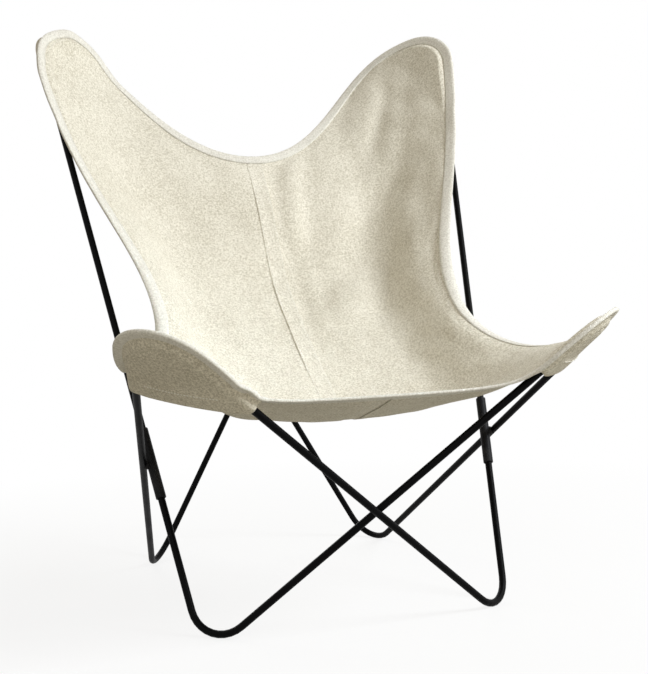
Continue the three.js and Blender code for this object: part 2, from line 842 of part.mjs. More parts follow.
function pocket(side, which) {
  const { places, rows, normals } = halves[side];
  const ear = ears[side][which];
  const tip = which === 'back' ? topCells : topCells + sideCells;
  const before = pocketReach(side, which, tip, -1);
  const after = pocketReach(side, which, tip, 1);
  const layer = [];
  const faces = [];
  const add = (place) => layer.push(place) - 1;
  const roundRod = (index, outside, height) => {
    const rod = nearestRod(ear, places[index]);
    return rod.centre.addScaledVector(rod.outward, outside).addScaledVector(ear.face, height);
  };
  const strip = [];
  for (let step = -before; step <= after; step += 1) {
    const { inward } = halves[side].rings[tip + step];
    const column = [0, 0, pocketLipReach].map((reach, ring) => {
      const index = rows[ring][tip + step];
      const place = places[index].clone().addScaledVector(inward, reach);
      return add(place.addScaledVector(normals[index], -canvasThickness - layerGap));
    });
    column.push(add(roundRod(rows[0][tip + step], pocketWrapOutside, -pocketWrapHeight)));
    column.push(add(roundRod(rows[0][tip + step], 0, -rodToPocket)));
    strip.push(column);
  }
  for (let step = 0; step + 1 < strip.length; step += 1) {
    for (let ring = 0; ring < 4; ring += 1) {
      faces.push([strip[step][ring], strip[step][ring + 1], strip[step + 1][ring + 1], strip[step + 1][ring]]);
    }
  }
  const rowCount = Math.max(before, after);
  let previous = Array(pocketColumns + 1).fill(strip[before][4]);
  for (let step = 1; step <= rowCount; step += 1) {
    const from = strip[before - Math.round((step * before) / rowCount)][4];
    const to = strip[before + Math.round((step * after) / rowCount)][4];
    const row = [from];
    for (let column = 1; column < pocketColumns; column += 1) {
      row.push(add(between(layer[from], layer[to], column / pocketColumns)));
    }
    row.push(to);
    for (let column = 0; column < pocketColumns; column += 1) {
      faces.push([previous[column], row[column], row[column + 1], previous[column + 1]]);
    }
    previous = row;
  }
  if (side < 0) faces.forEach((face) => face.reverse());
  const sheet = compactSheet(layer, faces);
  return thicken(sheet.places, sheet.faces, vertexNormals(sheet.places, sheet.faces), canvasThickness);
}

// Assembly

const paint = (color, roughness, metalness) => new THREE.MeshStandardMaterial({ color, roughness, metalness });

const group = new THREE.Group();

function addPiece(name, geometry, material) {
  const mesh = new THREE.Mesh(geometry, material);
  mesh.name = name;
  group.add(mesh);
}

const sideNames = { [-1]: 'left', 1: 'right' };
for (const side of [-1, 1]) {
  const name = sideNames[side];
  addPiece(`rod_loop_${name}`, rodLoop(side), paint(rodBlack, 0.42, 0.6));
  addPiece(`sleeve_${name}`, sleeve(side), paint(sleeveBlack, 0.45, 0.6));
  addPiece(`weld_${name}`, weld(side), paint(weldBlack, 0.6, 0.5));
  addPiece(`sling_panel_${name}`, slingPanel(side), paint(canvasCream, 0.95, 0));
  addPiece(`pocket_back_${name}`, pocket(side, 'back'), paint(pocketCream, 0.95, 0));
  addPiece(`pocket_front_${name}`, pocket(side, 'front'), paint(pocketCream, 0.95, 0));
}
addPiece('centre_seam', centreSeam(), paint(canvasCream, 0.95, 0));
addPiece('edge_binding', edgeBinding(), paint(bindingCream, 0.9, 0));

// The middle of the footprint goes to X = Y = 0, on the floor

const box = new THREE.Box3().setFromObject(group);
const middle = box.getCenter(vec(0, 0, 0));
group.children.forEach((mesh) => mesh.geometry.translate(-middle.x, -middle.y, -box.min.z));

export default group;
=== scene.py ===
"""Butterfly sling chair, dressed: canvas sling, binding, pockets and stitching on the CAD frame.

Metres and the row frame in Blender. The cloth is worked out in millimetres and scaled at the end.
"""

import math

import bpy
import numpy as np
from mathutils import Matrix, Vector


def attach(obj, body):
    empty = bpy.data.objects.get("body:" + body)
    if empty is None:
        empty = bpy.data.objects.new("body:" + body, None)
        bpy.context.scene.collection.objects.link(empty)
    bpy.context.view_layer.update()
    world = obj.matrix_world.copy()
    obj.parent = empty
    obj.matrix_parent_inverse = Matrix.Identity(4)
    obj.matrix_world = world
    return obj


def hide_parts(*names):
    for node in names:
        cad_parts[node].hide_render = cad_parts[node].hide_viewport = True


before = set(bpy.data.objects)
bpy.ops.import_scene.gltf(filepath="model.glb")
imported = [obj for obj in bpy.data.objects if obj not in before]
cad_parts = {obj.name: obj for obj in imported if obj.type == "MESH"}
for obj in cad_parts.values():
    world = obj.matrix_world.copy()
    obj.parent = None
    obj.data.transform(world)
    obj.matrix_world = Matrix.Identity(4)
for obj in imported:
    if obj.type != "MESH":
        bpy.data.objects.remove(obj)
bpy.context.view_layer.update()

# The camera

CAMERA_PLACE = Vector((-0.52642, -1.71504, 0.46376))
CAMERA_FORWARD = Vector((0.3055, 0.951, -0.048)).normalized()
CAMERA_UPWARD = Vector((0.0472, 0.0353, 0.9983))
CAMERA_LENS = 66.67
SENSOR_WIDTH = 36.0
IMAGE_WIDTH = 648
IMAGE_HEIGHT = 674

camera_right = CAMERA_FORWARD.cross(CAMERA_UPWARD).normalized()
camera_up = camera_right.cross(CAMERA_FORWARD).normalized()
camera_data = bpy.data.cameras.new("camera")
camera_data.lens = CAMERA_LENS
camera_data.sensor_width = SENSOR_WIDTH
camera_data.sensor_fit = "HORIZONTAL"
camera = bpy.data.objects.new("camera", camera_data)
bpy.context.scene.collection.objects.link(camera)
turned = Matrix((camera_right, camera_up, -CAMERA_FORWARD)).transposed().to_4x4()
camera.matrix_world = Matrix.Translation(CAMERA_PLACE) @ turned
bpy.context.scene.camera = camera

# Sizes of the ears, the canvas, the tape and the seam

BACK_PRONG_RADIUS = 53.5
FRONT_PRONG_RADIUS = 47.0
EAR_MARGIN = 24.0
BACK_MOUTH = 105.0
FRONT_MOUTH = 52.0
EAR_FLAT_WIDTH = 112.0
EAR_FADE = 85.0
CANVAS = 1.2
LAYER_GAP = 0.3
ROD_TO_CLOTH = 7.1
ROD_TO_BINDING = 9.0
RIM_LIFT = (CANVAS + LAYER_GAP) / 2
RIM_CLEAR = 22.8
RIM_OVER = 18.0
SHOULDER = (20.0, 27.0)
BINDING_WIDTH = 16.5
BINDING_THICKNESS = 0.8
SLOT_CLEARANCE = 0.5
SEAM_WIDTH = 18.0
SEAM_SIDE = SEAM_WIDTH / 2 + LAYER_GAP
MIDDLE_X = -0.02

# How the cloth hangs, as shares of the straight lines between ear tips, and angles round the ears

SPINE_ALONG = [0.188, 0.301, 0.48, 0.623, 0.804, 0.887, 0.957, 1.032]
SPINE_SAG = [0.1835, 0.2155, 0.292, 0.303, 0.2996, 0.28, 0.2075, 0.113]
WAIST_ALONG = 0.673
WAIST_INWARD = 0.091
WAIST_SAG = 0.209
WAIST_SLOPE = 0.95
SIDE_HANDLES = (0.31, 0.17, 0.124, 0.139)
TOP_HANDLES = (0.37, 0.42)
FRONT_HANDLES = (0.8, 0.39)
BACK_ANGLES = (0.2, 1.31)
FRONT_ANGLES = (1.08, 1.04)
CORE_ACROSS = 0.45
CORE_ALONG = 0.26
PEEK_SHARE = 0.12

# Where the straight legs of the frame meet, before each bend rounds the corner

CORNERS = {
    -1: {"front_foot": (-216.02, -192.56, -24.49), "back_foot": (-199.02, 296.27, -23.31),
         "back": (-371.02, 375.44, 1002.96), "front": (-327.47, -398.73, 441.46)},
    1: {"front_foot": (215.98, -203.73, -24.39), "back_foot": (198.98, 307.44, -23.39),
        "back": (370.98, 364.27, 1002.96), "front": (324.82, -387.56, 441.46)},
}

# The left back ear stands off its prong: the pocket is loose there. Here and below, the pair of a
# rise or a fade is where it starts and how long it is

LOOSE_FACE = (12.0, 30.0)
LOOSE_FACE_RISE = (-45.0, 70.0)
LOOSE_DROP = 20.0
LOOSE_ACROSS = 7.0
LOOSE_DOWN_FADE = (-95.0, 133.0)
LOOSE_WIDTH_FADE = (130.0, 120.0)

# Mesh counts: rings follow the rim under the tape and over the shoulder beside it

TOP_CELLS = 44
SIDE_CELLS = 90
TAPE_RING = 4
SHOULDER_STEPS = 4
TOP_CROWDING = 1.5
TIP_CROWDING = 0.7
INSET_HALVINGS = 26
CURVE_POINTS = 400
ARC_POINTS = 160
SPAN_POINTS = 80
SAME_PLACE = 1e-9

# Lines and surfaces


def unit(v):
    v = np.asarray(v, float)
    return v / np.linalg.norm(v, axis=-1, keepdims=True)


def rise(value, start=0.0, length=1.0):
    """0 up to the start, 1 from a length after it, and smooth between them."""
    t = np.clip((value - start) / length, 0.0, 1.0)
    return t * t * (3 - 2 * t)


def fade(value, start, length):
    return 1 - rise(value, start, length)


def bell(distance, width):
    return np.exp(-((distance / width) ** 2))


def lerp(a, b, t):
    t = np.asarray(t, float)[..., None]
    return a * (1 - t) + b * t


def reach_along(points):
    """The length of the line through the points, up to each of them."""
    steps = np.linalg.norm(np.diff(points, axis=0), axis=1)
    return np.concatenate([[0.0], np.cumsum(steps)])


def read_at(lengths, reach, places):
    return np.stack([np.interp(lengths, reach, places[:, k]) for k in range(3)], -1)


def grid_faces(numbers):
    """Four-sided faces between the neighbours in a grid of place numbers."""
    corners = (numbers[:-1, :-1], numbers[1:, :-1], numbers[1:, 1:], numbers[:-1, 1:])
    return np.stack([corner.ravel() for corner in corners], -1)


def ear_frame(side, which):
    back = which == "back"
    side_foot, cross_foot = ("front_foot", "back_foot") if back else ("back_foot", "front_foot")
    radius = BACK_PRONG_RADIUS if back else FRONT_PRONG_RADIUS
    corner = np.array(CORNERS[side][which])
    leg_in = unit(CORNERS[side][side_foot] - corner)
    leg_out = unit(CORNERS[-side][cross_foot] - corner)
    inward = unit(leg_in + leg_out)
    half = math.acos(float(leg_in @ leg_out)) / 2
    across = unit(leg_out - leg_in)
    tip = -inward
    face = unit(np.cross(tip, across))
    if face[2] < 0:
        face = -face
    return {
        "centre": corner + inward * radius / math.sin(half),
        "tip": tip,
        "across": across,
        "face": face,
        "half": half,
        "rod": radius,
        "radius": radius + EAR_MARGIN,
        "mouth": BACK_MOUTH if back else FRONT_MOUTH,
        "loose": back and side < 0,
    }


EARS = {s: {w: ear_frame(s, w) for w in ("back", "front")} for s in (-1, 1)}


def ear_offsets(ear, places):
    """How far places lie below the ear's centre, across it, and over its face."""
    offset = places - ear["centre"]
    return -(offset @ ear["tip"]), offset @ ear["across"], offset @ ear["face"]


def ear_rim(ear, angle):
    angle = np.asarray(angle, float)[..., None]
    return ear["centre"] + ear["radius"] * (ear["tip"] * np.cos(angle) + ear["across"] * np.sin(angle))


def ear_heading(ear, angle):
    return -ear["tip"] * math.sin(angle) + ear["across"] * math.cos(angle)


class Path:
    """A line through many points, read by its length."""

    def __init__(self, *parts):
        points = np.concatenate(parts)
        steps = np.linalg.norm(np.diff(points, axis=0), axis=1)
        self.points = points[np.concatenate([[True], steps > SAME_PLACE])]
        self.reach = reach_along(self.points)
        self.length = self.reach[-1]

    def at(self, share):
        return read_at(np.clip(share, 0.0, 1.0) * self.length, self.reach, self.points)


def bezier(start, start_heading, start_reach, end_reach, end_heading, end):
    t = np.linspace(0, 1, CURVE_POINTS)[:, None]
    a = start + start_heading * start_reach
    b = end + end_heading * end_reach
    return start * (1 - t) ** 3 + 3 * a * t * (1 - t) ** 2 + 3 * b * t**2 * (1 - t) + end * t**3


def arc(ear, start, end):
    return ear_rim(ear, np.linspace(start, end, ARC_POINTS))


def catmull(points):
    """Centripetal spline through the points."""
    points = np.asarray(points, float)
    run = np.concatenate([[2 * points[0] - points[1]], points, [2 * points[-1] - points[-2]]])
    parts = []
    t = np.linspace(0, 1, SPAN_POINTS)[:, None]
    for p0, p1, p2, p3 in zip(run, run[1:], run[2:], run[3:]):
        d0, d1, d2 = (math.sqrt(np.linalg.norm(b - a)) for a, b in ((p0, p1), (p1, p2), (p2, p3)))
        m1 = ((p1 - p0) / d0 - (p2 - p0) / (d0 + d1) + (p2 - p1) / d1) * d1
        m2 = ((p2 - p1) / d1 - (p3 - p1) / (d1 + d2) + (p3 - p2) / d2) * d1
        c2 = -3 * p1 + 3 * p2 - 2 * m1 - m2
        c3 = 2 * p1 - 2 * p2 + m1 + m2
        parts.append(p1 + m1 * t + c2 * t**2 + c3 * t**3)
    return Path(*parts)


def spine_curve():
    start, end = ((ear_rim(EARS[-1][w], 0) + ear_rim(EARS[1][w], 0)) / 2 for w in ("back", "front"))
    start[0] = end[0] = MIDDLE_X
    length = np.linalg.norm(end - start)
    along = unit(end - start)
    down = np.array([0, -along[2], along[1]])
    return catmull([
        start + along * share * length + down * sag * length
        for share, sag in zip(SPINE_ALONG, SPINE_SAG)
    ])


SPINE = spine_curve()


def cross_edge(side, middle, ear, angle, handles):
    """The top or the front edge of one half, from the middle seam to the ear's tip."""
    end = ear_rim(ear, angle)
    span = np.linalg.norm(end - middle)
    sideways = np.array([side, 0.0, 0.0])
    return Path(
        bezier(middle, sideways, handles[0] * span, handles[1] * span, ear_heading(ear, angle), end),
        arc(ear, angle, 0),
    )


def side_edge(side):
    """The side edge of one half, from the back ear's tip by the waist to the front ear's tip."""
    back = EARS[side]["back"]
    front = EARS[side]["front"]
    sideways = np.array([side, 0.0, 0.0])
    back_tip = ear_rim(back, 0)
    front_tip = ear_rim(front, 0)
    chord = np.linalg.norm(front_tip - back_tip)
    along = unit(front_tip - back_tip)
    down = unit(np.array([0, -along[2], along[1]]))
    waist = back_tip + along * WAIST_ALONG * chord + down * WAIST_SAG * chord
    waist = waist - sideways * WAIST_INWARD * chord
    slope = unit(np.array([0, -WAIST_SLOPE, -1.0]))
    reach = [share * chord for share in SIDE_HANDLES]
    leave = -BACK_ANGLES[1]
    meet = -FRONT_ANGLES[0]
    return Path(
        arc(back, 0, leave),
        bezier(ear_rim(back, leave), -ear_heading(back, leave), reach[0], -reach[1], slope, waist),
        bezier(waist, slope, reach[2], reach[3], -ear_heading(front, meet), ear_rim(front, meet)),
        arc(front, meet, 0),
    )


def hanging_surface(side):
    top = cross_edge(side, SPINE.at(0.0), EARS[side]["back"], BACK_ANGLES[0], TOP_HANDLES)
    edge = side_edge(side)
    front_edge = cross_edge(side, SPINE.at(1.0), EARS[side]["front"], FRONT_ANGLES[1], FRONT_HANDLES)

    def surface(shares):
        u, v = shares[..., 0], shares[..., 1]
        outer = (u**2)[..., None]
        from_top = SPINE.at(v) - lerp(SPINE.at(0.0), SPINE.at(1.0), v)
        from_tip = edge.at(v) - lerp(edge.at(0.0), edge.at(1.0), v)
        return lerp(top.at(u), front_edge.at(u), v) + from_top * (1 - outer) + from_tip * outer

    return surface, (top.length, front_edge.length), edge.length


def nearest_rod(ear, places):
    """The middle of the prong by each place, the way outwards, and how far outside the place lies."""
    offset = places - ear["centre"]
    out = offset @ ear["tip"]
    over = offset @ ear["across"]
    turn = math.pi / 2 - ear["half"]
    angle = np.clip(np.arctan2(over, out), -turn, turn)
    outward = ear["tip"] * np.cos(angle)[..., None] + ear["across"] * np.sin(angle)[..., None]
    reach = out * np.cos(angle) + over * np.sin(angle)
    flat = offset - ear["face"] * (offset @ ear["face"])[..., None]
    centre = ear["centre"] + flat + outward * (ear["rod"] - reach)[..., None]
    return centre, outward, reach - ear["rod"]


def rim_lift(ear, rim):
    clear = rise(nearest_rod(ear, rim)[2], RIM_OVER, RIM_CLEAR - RIM_OVER)
    return ROD_TO_BINDING + (RIM_LIFT - ROD_TO_BINDING) * clear


def seat_on_ears(side, places, lifts):
    """Raises cloth until it lies on the ears. lifts are the heights over the back and front ear."""
    seated = places.copy()
    for ear, lift in zip(EARS[side].values(), lifts):
        below, over, height = ear_offsets(ear, places)
        hold = fade(below, ear["mouth"], EAR_FADE) * fade(np.abs(over), EAR_FLAT_WIDTH, EAR_FADE)
        seated += ear["face"] * (hold * np.maximum(lift - height, 0))[..., None]
    return seated


def loosen(side, places):
    """The left back ear's cloth stands off its prong, towards the sitter."""
    ear = EARS[side]["back"]
    if not ear["loose"]:
        return places
    below, over, _ = ear_offsets(ear, places)
    share = fade(below, *LOOSE_DOWN_FADE) * fade(over, *LOOSE_WIDTH_FADE)
    off = LOOSE_FACE[0] + (LOOSE_FACE[1] - LOOSE_FACE[0]) * rise(over, *LOOSE_FACE_RISE)
    step = ear["across"] * LOOSE_ACROSS - ear["tip"] * LOOSE_DROP + ear["face"] * off[..., None]
    return places + step * share[..., None]


def towards_core(stations, share):
    across = np.minimum(stations[..., 0], CORE_ACROSS)
    along = np.clip(stations[..., 1], CORE_ALONG, 1 - CORE_ALONG)
    return stations + (np.stack([across, along], -1) - stations) * np.asarray(share, float)[..., None]


def rim_stations(widths):
    """Shares across and along the half at each station of its rim: top edge, side edge, front edge."""
    first = [SEAM_SIDE / width for width in widths]
    spread = 1 - (1 - np.arange(TOP_CELLS) / TOP_CELLS) ** TOP_CROWDING
    share = np.arange(SIDE_CELLS + 1) / SIDE_CELLS
    eased = share + ((1 - np.cos(np.pi * share)) / 2 - share) * TIP_CROWDING
    top = np.stack([first[0] + (1 - first[0]) * spread, np.zeros(TOP_CELLS)], -1)
    edge = np.stack([np.ones(SIDE_CELLS + 1), eased], -1)
    front = np.stack([first[1] + (1 - first[1]) * spread, np.ones(TOP_CELLS)], -1)[::-1]
    return np.concatenate([top, edge, front])


def three_sides(ring):
    """A ring's stations by the top, the side and the front, read from the seam or from the top."""
    after_side = TOP_CELLS + SIDE_CELLS
    return ring[: TOP_CELLS + 1], ring[TOP_CELLS : after_side + 1], ring[after_side:][::-1]


def inset(surface, stations, inward, distance):
    """Stations moved towards the core until they lie a distance inside the rim."""
    rim = surface(stations)
    near = np.zeros(len(stations))
    far = np.ones(len(stations))
    for _ in range(INSET_HALVINGS):
        middle = (near + far) / 2
        reach = ((surface(towards_core(stations, middle)) - rim) * inward).sum(-1)
        short = reach < distance
        near = np.where(short, middle, near)
        far = np.where(short, far, middle)
    return towards_core(stations, (near + far) / 2)


def core_grid(ring, stations, widths):
    """Shares across and along the cloth inside a ring, spread between its sides and the seam."""
    top_row, side_row, front_row = three_sides(ring)
    top_stations, side_stations, _ = three_sides(stations)
    first = stations[0, 0]
    t = side_stations[:, 1][:, None, None]
    s = ((top_stations[:, 0] - first) / (1 - first))[None, :, None]
    v = top_row[0, 1] + (front_row[0, 1] - top_row[0, 1]) * t[:, 0, 0]
    seam_row = np.stack([SEAM_SIDE / (widths[0] + (widths[1] - widths[0]) * v), v], -1)[:, None]
    grid = (1 - t) * top_row[None] + t * front_row[None] + (1 - s) * seam_row + s * side_row[:, None]
    grid = grid - (1 - t) * ((1 - s) * top_row[0] + s * top_row[-1])
    grid = grid - t * ((1 - s) * front_row[0] + s * front_row[-1])
    grid[0], grid[-1], grid[:, -1] = top_row, front_row, side_row
    return grid


def sling_half(side):
    """One half of the canvas: rings along the rim, and a grid inside them."""
    surface, widths, edge_length = hanging_surface(side)
    stations = rim_stations(widths)
    count = len(stations)
    rim = surface(stations)
    heading = unit(np.gradient(rim, axis=0))
    inside = surface(towards_core(stations, PEEK_SHARE)) - rim
    inward = unit(inside - heading * (inside * heading).sum(-1, keepdims=True))
    outside = [nearest_rod(ear, rim)[2] for ear in EARS[side].values()]
    shoulder = np.clip(np.where(stations[:, 1] < 0.5, *outside), *SHOULDER)

    # Each ring's distance from the rim, and how far its height has come down from the rim's
    drops = [(BINDING_WIDTH * ring / TAPE_RING, 0.0) for ring in range(TAPE_RING + 1)]
    for share in np.arange(1, SHOULDER_STEPS + 1) / SHOULDER_STEPS:
        drops.append((BINDING_WIDTH + (shoulder - BINDING_WIDTH) * share, (share + rise(share)) / 2))
    rim_lifts = [rim_lift(ear, rim) for ear in EARS[side].values()]
    ring_shares = []
    ring_places = []
    for distance, down in drops:
        at = inset(surface, stations, inward, distance) if ring_shares else stations
        lifts = [lift + (ROD_TO_CLOTH - lift) * down for lift in rim_lifts]
        ring_shares.append(at)
        ring_places.append(seat_on_ears(side, surface(at), lifts))
    rings = len(drops)

    # One list of places: the rings, then the grid without the sides that it shares with them
    grid = core_grid(ring_shares[-1], stations, widths)
    grid_places = seat_on_ears(side, surface(grid), [ROD_TO_CLOTH, ROD_TO_CLOTH])
    ring_numbers = np.arange(rings * count).reshape(rings, count)
    numbers = np.zeros(grid.shape[:2], int)
    inner = np.arange((SIDE_CELLS - 1) * TOP_CELLS).reshape(-1, TOP_CELLS)
    numbers[1:-1, :-1] = ring_numbers.size + inner
    numbers[0], numbers[:, -1], numbers[-1] = three_sides(ring_numbers[-1])
    places = np.concatenate([*ring_places, grid_places[1:-1, :-1].reshape(-1, 3)])
    shares = np.concatenate([*ring_shares, grid[1:-1, :-1].reshape(-1, 2)])
    faces = np.concatenate([grid_faces(ring_numbers), grid_faces(numbers)])
    if side < 0:
        faces = faces[:, ::-1]
    places = loosen(side, places)
    width = widths[0] + (widths[1] - widths[0]) * shares[:, 1]
    return {
        "places": places, "faces": faces, "shares": shares, "numbers": numbers,
        "cloth": np.stack([side * shares[:, 0] * width, shares[:, 1] * edge_length], -1),
        "count": count, "rings": rings, "ring_of": np.minimum(np.arange(len(places)) // count, rings),
        "rim": rim, "inward": inward, "rim_reach": reach_along(places[:count]),
    }


def in_rings(half, field):
    """The places or normals of a half's rings, one row for each ring."""
    return half[field][: half["rings"] * half["count"]].reshape(half["rings"], half["count"], 3)


def normals_of(places, faces):
    a, b, c, d = (places[faces[:, k]] for k in range(4))
    face_normals = np.cross(c - a, d - b)
    normals = np.zeros_like(places)
    for k in range(4):
        np.add.at(normals, faces[:, k], face_normals)
    return unit(normals + 1e-12)


# Folds, ripples and puckers

FOLD_TAPER = 0.3
FOLD_END = 0.04
BANK_HEIGHT = 0.55
BANK_WIDTH = 2.3
RIPPLE_WAVES = 7
RIPPLE_LENGTHS = (0.7, 1.5)
RIPPLE_PHASES = 6.28

# Ripples over a half: seed, wavelength and height, the last one only in the seat
WIDE_RIPPLE = (11, 150.0, 1.3)
SMALL_RIPPLE = (23, 62.0, 0.5)
SEAT_RIPPLE = (37, 27.0, 0.38)
SEAT_RISE = (0.42, 0.15)
SEAT_RIPPLE_LEAST = 0.35
SEAT_RIPPLE_BESIDE = 20.0
SEAT_RIPPLE_WIDTH = 55.0

# Puckers: distance from one to the next, how far they wander, and the length of that wander
TAPE_PUCKER = (17.0, 1.7, 41.0)
SEAM_PUCKER = (21.0, 2.0, 57.0)
STRIP_PUCKER = (3.3 * math.tau, 1.5, 31.0)
TAPE_PUCKER_HEIGHT = 0.5
TAPE_PUCKER_RING = TAPE_RING + 2
TAPE_PUCKER_RINGS = 4
SEAM_PUCKER_HEIGHT = 0.7
SEAM_PUCKER_BESIDE = 9.0
SEAM_PUCKER_WIDTH = 12.0

# Where seam and rods hold the cloth: from the middle, beside a rod, below a mouth and over an ear
SEAM_RISE = (SEAM_WIDTH / 2 + 0.5, 10.0)
HOLD_BESIDE = (7.0, 16.0)
HOLD_BELOW = 40.0
HOLD_OVER = 30.0
CLEAR_BESIDE = (7.0, 7.0)
CLEAR_BELOW = 60.0
CLEAR_UNDER = -30.0
CLOTH_ROUND_ROD = 6.45
TAPE_ROUND_ROD = 5.4
TAPE_OVER_ROD = 3.6
TAPE_BELOW_MOUTH = 40.0

# A ridge where the prong fills the edge of the loose ear, between two angles round it, and the
# hollow inside it: height, distance from the rim and width of both
RIDGE_RISE = (-2.4, 0.5)
RIDGE_FADE = (0.2, 0.5)
RIDGE_NEAR_FADE = (150.0, 120.0)
RIDGE_SHAPE = [(3.0, 8.0, 7.0), (-6.5, 36.0, 13.0)]

# Folds: half, first and last share down the sling, line in the picture's pixels, width in pixels
# and depth in mm. A depth below 0 is a crest
FOLDS = [
    (1, 0.0, 0.75, [(289, 140), (292, 200), (299, 268)], 11, -12.0),
    (1, 0.1, 0.8, [(304, 250), (314, 300), (330, 345)], 7, -5.0),
    (1, 0.0, 0.95, [(328, 130), (334, 220), (344, 290), (358, 360)], 30, -11.0),
    (1, 0.2, 0.95, [(400, 180), (412, 255), (425, 330)], 22, -8.0),
    (-1, 0.1, 0.9, [(246, 235), (262, 300), (280, 350)], 8, -2.5),
    (1, 0.0, 0.62, [(376, 62), (384, 95), (380, 125), (368, 165)], 9, 5.0),
    (1, 0.0, 0.62, [(398, 70), (404, 110), (398, 165), (384, 215)], 12, 3.2),
    (1, 0.0, 0.62, [(350, 120), (338, 165), (326, 215)], 13, 2.4),
    (1, 0.0, 0.7, [(428, 150), (424, 210), (428, 262)], 10, 2.2),
    (-1, 0.0, 0.62, [(62, 62), (70, 100), (88, 140), (112, 176)], 9, 4.2),
    (-1, 0.0, 0.62, [(92, 96), (112, 140), (146, 188)], 11, 2.6),
    (-1, 0.0, 0.62, [(170, 160), (180, 205), (196, 260)], 12, 2.0),
    (-1, 0.0, 0.75, [(266, 162), (270, 200), (277, 240)], 8, 4.0),
    (1, 0.45, 0.9, [(300, 300), (312, 335), (326, 368)], 6, 1.8),
    (1, 0.5, 1.0, [(352, 372), (398, 366), (450, 352)], 7, 1.6),
    (1, 0.5, 1.0, [(492, 372), (502, 356), (520, 350)], 6, 3.2),
    (1, 0.5, 1.0, [(430, 330), (456, 344), (486, 352)], 8, 2.4),
    (-1, 0.45, 0.9, [(192, 318), (220, 338), (252, 352)], 8, 2.0),
    (-1, 0.5, 1.0, [(206, 352), (232, 372), (264, 386)], 7, 1.6),
]


def to_photo(places):
    """Where places, in millimetres, fall in the picture, to draw the folds where they hang."""
    offset = places / 1000 - np.array(CAMERA_PLACE)
    depth = offset @ np.array(CAMERA_FORWARD)
    focal = CAMERA_LENS / SENSOR_WIDTH * IMAGE_WIDTH
    x = IMAGE_WIDTH / 2 + focal * (offset @ np.array(camera_right)) / depth
    y = IMAGE_HEIGHT / 2 - focal * (offset @ np.array(camera_up)) / depth
    return np.stack([x, y], -1)


def line_reach(points, line):
    """Distance from each point to a line of several legs, and the share of the way along it."""
    line = np.asarray(line, float)
    walked = reach_along(line)
    best = np.full(len(points), np.inf)
    share = np.zeros(len(points))
    for a, b, done, reached in zip(line, line[1:], walked, walked[1:]):
        t = np.clip(((points - a) @ (b - a)) / ((b - a) @ (b - a)), 0, 1)
        distance = np.linalg.norm(points - (a + t[:, None] * (b - a)), axis=1)
        closer = distance < best
        best = np.where(closer, distance, best)
        share = np.where(closer, (done + t * (reached - done)) / walked[-1], share)
    return best, share


def ripple(cloth, side, kind):
    """A few crossing waves, fixed by the seed and the half."""
    seed, wavelength, height = kind
    rng = np.random.default_rng(seed + side)
    total = np.zeros(len(cloth))
    for _ in range(RIPPLE_WAVES):
        direction = rng.uniform(0, 2 * math.pi)
        length = wavelength * rng.uniform(*RIPPLE_LENGTHS)
        heading = np.array([math.cos(direction), math.sin(direction)])
        total += np.sin(2 * math.pi * (cloth @ heading) / length + rng.uniform(0, RIPPLE_PHASES))
    return height * total / RIPPLE_WAVES**0.5


def pucker_wave(reach, kind, shift=0.0):
    pitch, wander, wander_length = kind
    return np.sin(2 * math.pi * reach / pitch + wander * np.sin(reach / wander_length + shift))


def fold_depths(side, half):
    """How far the folds of one half push each place out along its normal."""
    seen = to_photo(half["places"])
    down = half["shares"][:, 1]
    move = np.zeros(len(seen))
    for fold_side, low, high, line, width, depth in FOLDS:
        if fold_side != side:
            continue
        distance, share = line_reach(seen, line)
        taper = rise(share, 0.0, FOLD_TAPER) * rise(1 - share, 0.0, FOLD_TAPER)
        within = rise(down, low - FOLD_END / 2, FOLD_END) * fade(down, high - FOLD_END / 2, FOLD_END)
        dip = BANK_HEIGHT * bell(distance, BANK_WIDTH * width) - bell(distance, width)
        move += depth * taper * within * dip
    return move


def add_puckers(side, half, move):
    """Small waves where the thread gathers the cloth, along the tape and the middle seam."""
    count = half["count"]
    wave = pucker_wave(half["rim_reach"], TAPE_PUCKER)
    for ring in range(TAPE_RING + 1, half["rings"]):
        share = 1 - abs(ring - TAPE_PUCKER_RING) / TAPE_PUCKER_RINGS
        move[ring * count : (ring + 1) * count] += TAPE_PUCKER_HEIGHT * share * wave
    inner = half["numbers"][1:-1, :-1].ravel()
    beside = np.abs(half["cloth"][inner, 0]) - SEAM_WIDTH / 2
    wave = pucker_wave(half["cloth"][inner, 1], SEAM_PUCKER, side)
    move[inner] += SEAM_PUCKER_HEIGHT * wave * bell(beside - SEAM_PUCKER_BESIDE, SEAM_PUCKER_WIDTH)


def add_folds(side, half):
    places = half["places"]
    cloth = half["cloth"]
    from_middle = np.abs(cloth[:, 0])
    move = fold_depths(side, half)
    move += ripple(cloth, side, WIDE_RIPPLE) + ripple(cloth, side, SMALL_RIPPLE)
    beside_seam = SEAT_RIPPLE_LEAST + bell(from_middle - SEAT_RIPPLE_BESIDE, SEAT_RIPPLE_WIDTH)
    seat = rise(half["shares"][:, 1], *SEAT_RISE) * beside_seam
    move += seat * ripple(cloth, side, SEAT_RIPPLE)
    add_puckers(side, half, move)

    # Nothing moves at the rim or at the seam's edge, nor inwards where a rod lies behind
    loose_rings = half["rings"] + 1 - TAPE_RING
    hold = np.clip((half["ring_of"] + 1 - TAPE_RING) / loose_rings, 0, 1)
    hold = hold * rise(from_middle, *SEAM_RISE)
    for ear in EARS[side].values():
        below, _, height = ear_offsets(ear, places)
        outside = np.abs(nearest_rod(ear, places)[2])
        near = fade(below, ear["mouth"], HOLD_BELOW) * (height < HOLD_OVER) * fade(outside, *HOLD_BESIDE)
        hold = np.where(move < 0, hold * (1 - near), hold)
    half["places"] = places + normals_of(places, half["faces"]) * (move * hold)[:, None]
    keep_off_rods(side, half)
    half["normals"] = normals_of(half["places"], half["faces"])


